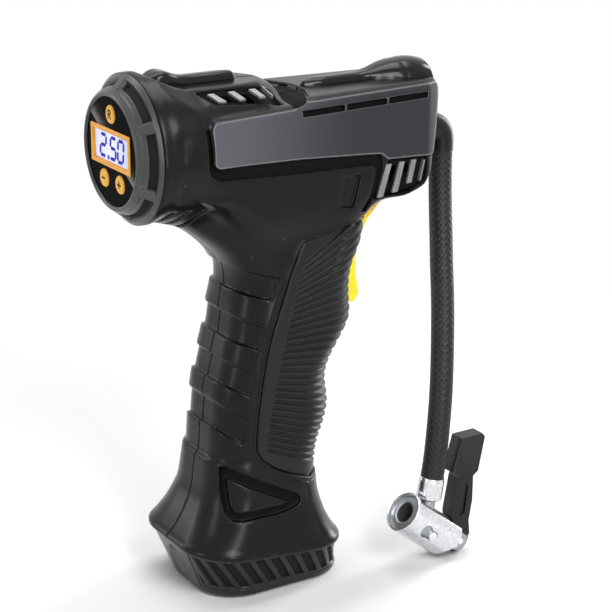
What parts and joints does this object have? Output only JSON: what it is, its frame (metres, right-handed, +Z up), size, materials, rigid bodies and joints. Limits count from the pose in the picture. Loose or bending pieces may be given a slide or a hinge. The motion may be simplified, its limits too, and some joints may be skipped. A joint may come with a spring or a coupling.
{
  "type": "portable tire inflator",
  "caption": "Pistol-shaped portable tyre inflator with round display head, trigger, ribbed grip and lever chuck on a short hose.",
  "frame": {"origin": "middle of the casing's length and width on the ground under the base cap, measured without the hose, its elbow and its chuck", "axes": "+Z up, +X towards the nose and the hose outlet, the display faces -X, -Y is the side shown in the picture"},
  "size_m": [0.1479, 0.0686, 0.203],
  "materials": {
    "casing": "satin black moulded ABS",
    "trim": "gloss black moulded ABS",
    "grip": "overmoulded rubber, matt",
    "trigger": "moulded yellow ABS",
    "silver": "silver painted mesh bars",
    "face": "high gloss black face",
    "orange": "moulded orange ABS",
    "keys": "moulded yellow-orange keys",
    "screen": "backlit liquid crystal display",
    "lens": "clear lamp lens",
    "led": "white LED",
    "hose": "braided hose",
    "elbow": "moulded elbow",
    "chrome": "satin plated steel tube",
    "steel": "plated steel",
    "lever": "moulded nylon, satin black",
    "zinc": "die cast, satin",
    "seal": "rubber seal",
    "board": "circuit board",
    "winding": "copper winding on laminated iron",
    "magnet": "ferrite",
    "gear": "moulded acetal",
    "brass": "turned brass",
    "cell": "shrink sleeved battery cell",
    "holder": "moulded holder",
    "inner": "moulded nylon"
  },
  "bodies": {
    "casing": {"right_shell": "casing", "left_shell": "casing", "bezel_ring": "casing", "face_plate": "face", "lcd_frame": "orange", "lcd_panel": "screen", "display_board": "board", "top_spine": "trim", "nose_rail": "trim", "lamp_lens": "lens", "lamp_led": "led", "right_upper_bars": "silver", "left_upper_bars": "silver", "right_nose_bars": "silver", "left_nose_bars": "silver", "grip_sleeve": "grip", "trigger_pin": "steel", "trigger_spring": "steel", "trigger_switch": "inner", "base_cap": "trim", "port_cover": "seal", "motor_can": "steel", "motor_magnets": "magnet", "axle_bush": "brass", "pump_frame": "steel", "cylinder": "zinc", "cylinder_head": "zinc", "frame_screws": "steel", "hose_elbow": "elbow", "hose": "hose", "outlet_tube": "seal", "hose_fitting": "brass", "main_board": "board", "battery_cells": "cell", "battery_holder": "holder", "casing_screws": "steel", "base_screws": "steel", "chuck_body": "zinc", "chuck_seal": "seal", "guide_pin": "steel", "lever_pin": "steel", "ferrule": "chrome"},
    "trigger_lever": {"trigger": "trigger"},
    "key_reset": {"button_reset": "keys"},
    "key_minus": {"button_minus": "keys"},
    "key_plus": {"button_plus": "keys"},
    "motor_shaft": {"motor_rotor": "winding", "pinion": "brass", "cooling_fan": "inner"},
    "crank": {"crank_gear": "gear", "gear_axle": "steel"},
    "piston": {"connecting_rod": "gear", "crank_pin": "steel", "piston_seal": "seal", "piston_cap": "steel"},
    "chuck_clamp": {"chuck_lever": "lever"},
    "chuck_sleeve": {"chuck_shell": "chrome"}
  },
  "joints": [
    {"name": "trigger_pivot", "type": "hinge", "parent": "casing", "child": "trigger_lever", "pos_m": [0.033, 0, 0.1493], "axis": [0, 1, 0], "range_deg": [0, 7], "stiffness_Nm_per_rad": 1},
    {"name": "reset_key", "type": "slide", "parent": "casing", "child": "key_reset", "axis": [1, 0, 0], "range_m": [0, 0.0004], "stiffness_N_per_m": 2000},
    {"name": "minus_key", "type": "slide", "parent": "casing", "child": "key_minus", "axis": [1, 0, 0], "range_m": [0, 0.0004], "stiffness_N_per_m": 2000},
    {"name": "plus_key", "type": "slide", "parent": "casing", "child": "key_plus", "axis": [1, 0, 0], "range_m": [0, 0.0004], "stiffness_N_per_m": 2000},
    {"name": "motor_spin", "type": "hinge", "parent": "casing", "child": "motor_shaft", "pos_m": [-0.035, 0, 0.172], "axis": [1, 0, 0], "continuous": true},
    {"name": "crank_spin", "type": "hinge", "parent": "casing", "child": "crank", "pos_m": [-0.014, 0, 0.1545], "axis": [1, 0, 0], "continuous": true},
    {"name": "piston_stroke", "type": "slide", "parent": "casing", "child": "piston", "axis": [0, 0, 1], "range_m": [0, 0.012]},
    {"name": "chuck_lever_pivot", "type": "hinge", "parent": "casing", "child": "chuck_clamp", "pos_m": [0.06548, -0.03073, 0.00637], "axis": [0, 1, 0], "range_deg": [0, 75]},
    {"name": "chuck_sleeve_slide", "type": "slide", "parent": "casing", "child": "chuck_sleeve", "axis": [0.788, 0, -0.6157], "range_m": [0, 0.0012]}
  ],
  "couplings": [
    {"joint": "crank_spin", "follows": "motor_spin", "ratio": -0.25},
    {"joint": "chuck_sleeve_slide", "follows": "chuck_lever_pivot", "m_per_rad": 0.00091673}
  ]
}
